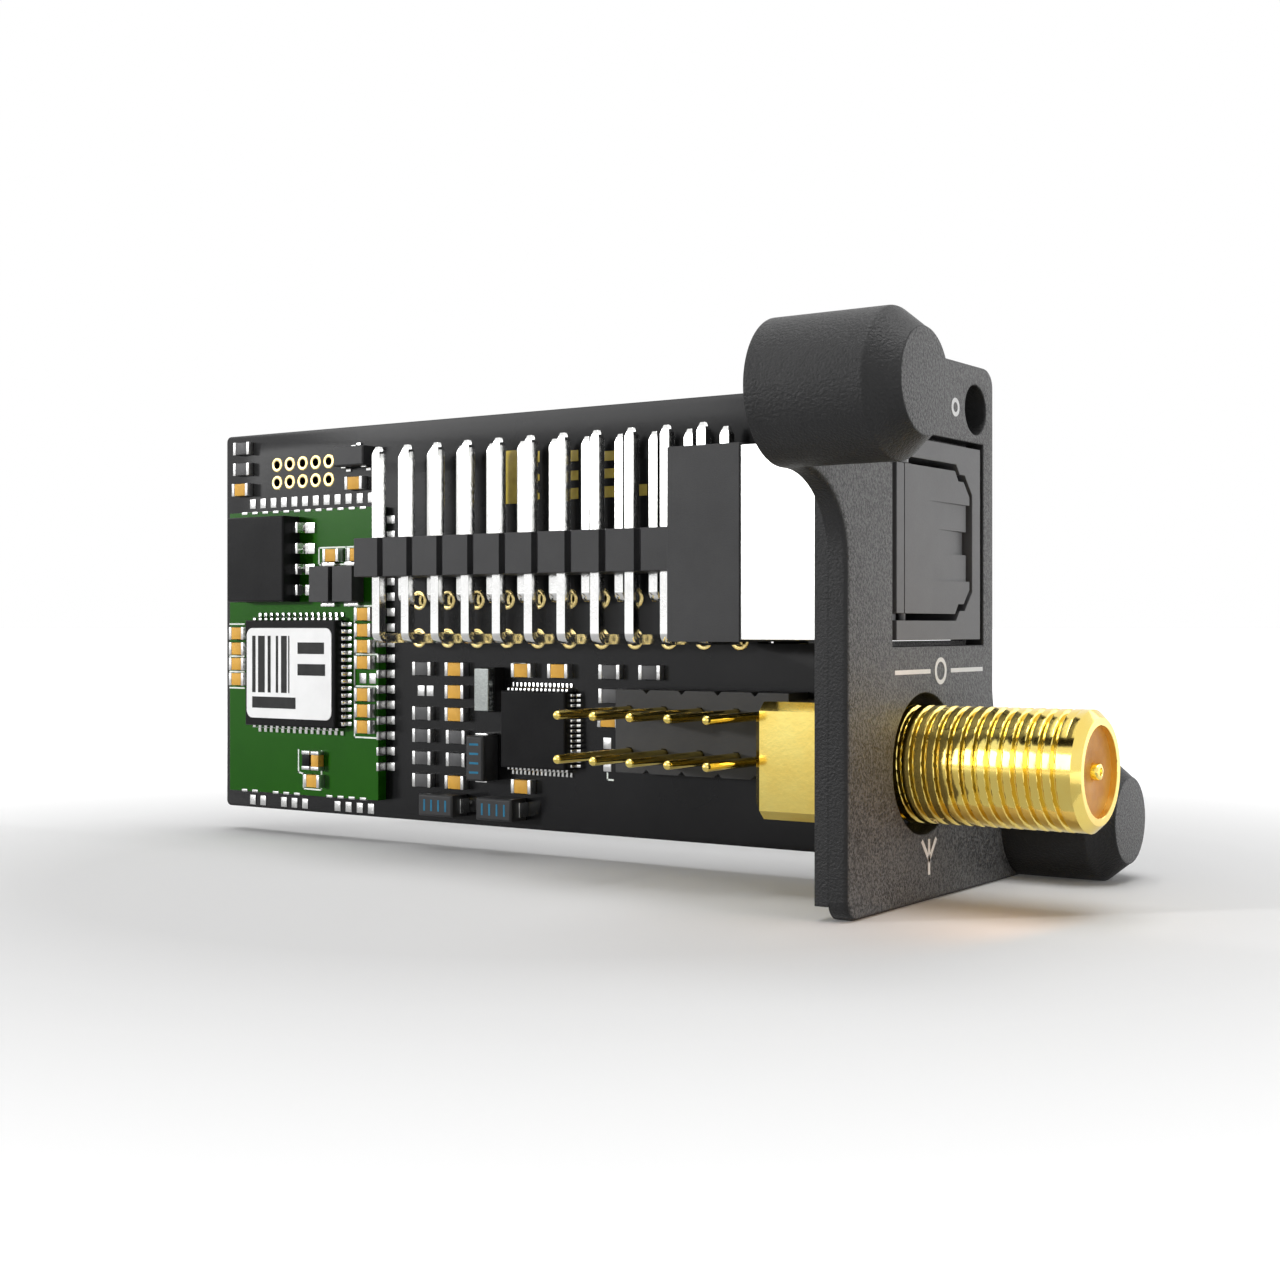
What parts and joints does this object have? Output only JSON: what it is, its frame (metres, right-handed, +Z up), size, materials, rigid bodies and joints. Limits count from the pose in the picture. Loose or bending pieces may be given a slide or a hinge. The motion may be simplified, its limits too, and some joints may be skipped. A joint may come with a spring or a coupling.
{
  "type": "wireless audio receiver module",
  "caption": "Plug-in wireless audio module with a black front plate, threaded antenna jack, shuttered optical socket and a pin header on an upright circuit board.",
  "frame": {"origin": "under the middle of the whole module, at the level of the front plate's lower edge", "axes": "+X out through the front plate, along the antenna jack; +Z up, along the pin header's pins"},
  "size_m": [0.0676, 0.0342, 0.0297],
  "materials": {
    "cast_black": "fine-grained black paint on a casting",
    "board_black": "black solder mask over glass fibre",
    "board_green": "green solder mask over glass fibre",
    "bright_tin": "bright tin plating",
    "satin_metal": "satin nickel plating",
    "solder": "dull solder",
    "gold_plate": "gold plating",
    "housing_grey": "dark grey moulded plastic",
    "shutter_grey": "grey moulded plastic",
    "insulator_orange": "orange-brown insulator",
    "chip_black": "black moulding compound",
    "ceramic_tan": "tan ceramic",
    "label_white": "paper label",
    "light_lens": "milky lens"
  },
  "bodies": {
    "root": {"front_plate": "cast_black", "main_board": "board_black", "radio_board": "board_green", "socket_shell": "satin_metal", "socket_rear_housing": "housing_grey", "shutter_spring": "satin_metal", "light_emitter": "chip_black", "emitter_leads": "bright_tin", "status_light": "light_lens", "antenna_jack": "gold_plate", "antenna_insulator": "insulator_orange", "antenna_contact": "gold_plate", "header_block": "housing_grey", "header_outer_pins": "bright_tin", "header_inner_pins": "bright_tin", "header_rings": "gold_plate", "service_block": "housing_grey", "service_pins": "gold_plate", "radio_chip": "chip_black", "radio_chip_leads": "bright_tin", "radio_chip_label": "label_white", "memory_chip": "chip_black", "memory_chip_leads": "bright_tin", "audio_chip": "chip_black", "audio_chip_leads": "bright_tin", "regulator": "chip_black", "regulator_leads": "bright_tin", "coil_blocks": "chip_black", "coil_ends": "bright_tin", "crystal_base": "chip_black", "crystal_lid": "satin_metal", "power_capacitors": "chip_black", "power_capacitor_tabs": "bright_tin", "board_capacitors": "ceramic_tan", "board_capacitor_ends": "bright_tin", "board_resistors": "chip_black", "board_resistor_ends": "bright_tin", "radio_capacitors": "ceramic_tan", "radio_capacitor_ends": "bright_tin", "radio_resistor": "chip_black", "radio_resistor_ends": "bright_tin", "edge_pads": "solder", "land_pads": "solder", "spare_pads": "solder", "test_rings": "gold_plate"},
    "shutter": {"socket_shutter": "shutter_grey"}
  },
  "joints": [
    {"name": "shutter_hinge", "type": "hinge", "parent": "root", "child": "shutter", "pos_m": [0.02353, -0.00205, 0.01952], "axis": [0, 0, 1], "range_deg": [0, 80], "stiffness_Nm_per_rad": 0.0002, "springref_deg": -17.19}
  ]
}
